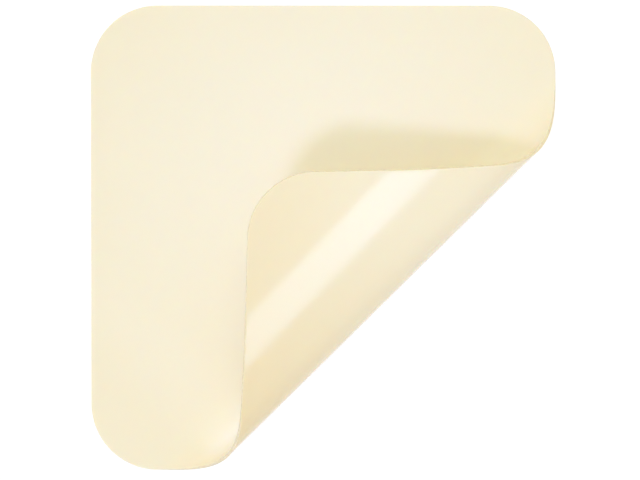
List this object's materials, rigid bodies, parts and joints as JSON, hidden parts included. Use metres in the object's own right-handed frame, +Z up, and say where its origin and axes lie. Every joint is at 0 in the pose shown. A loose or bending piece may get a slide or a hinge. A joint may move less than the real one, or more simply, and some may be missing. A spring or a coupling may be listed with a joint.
{
  "type": "hydrocolloid dressing",
  "caption": "Square hydrocolloid wound dressing with rounded corners, lying flat with one corner peeled up and rolled back over its face.",
  "frame": {"origin": "middle of the flat square's underside, on the surface that it lies on", "axes": "+Z up out of the dressing's face, +X and +Y along its straight sides, with the rolled corner at +X -Y"},
  "size_m": [0.1, 0.1, 0.0284],
  "materials": {
    "hydrocolloid": "cream gel sheet, satin film on the face and a glossier tacky underside"
  },
  "bodies": {
    "root": {"dressing_sheet": "hydrocolloid"}
  },
  "joints": []
}
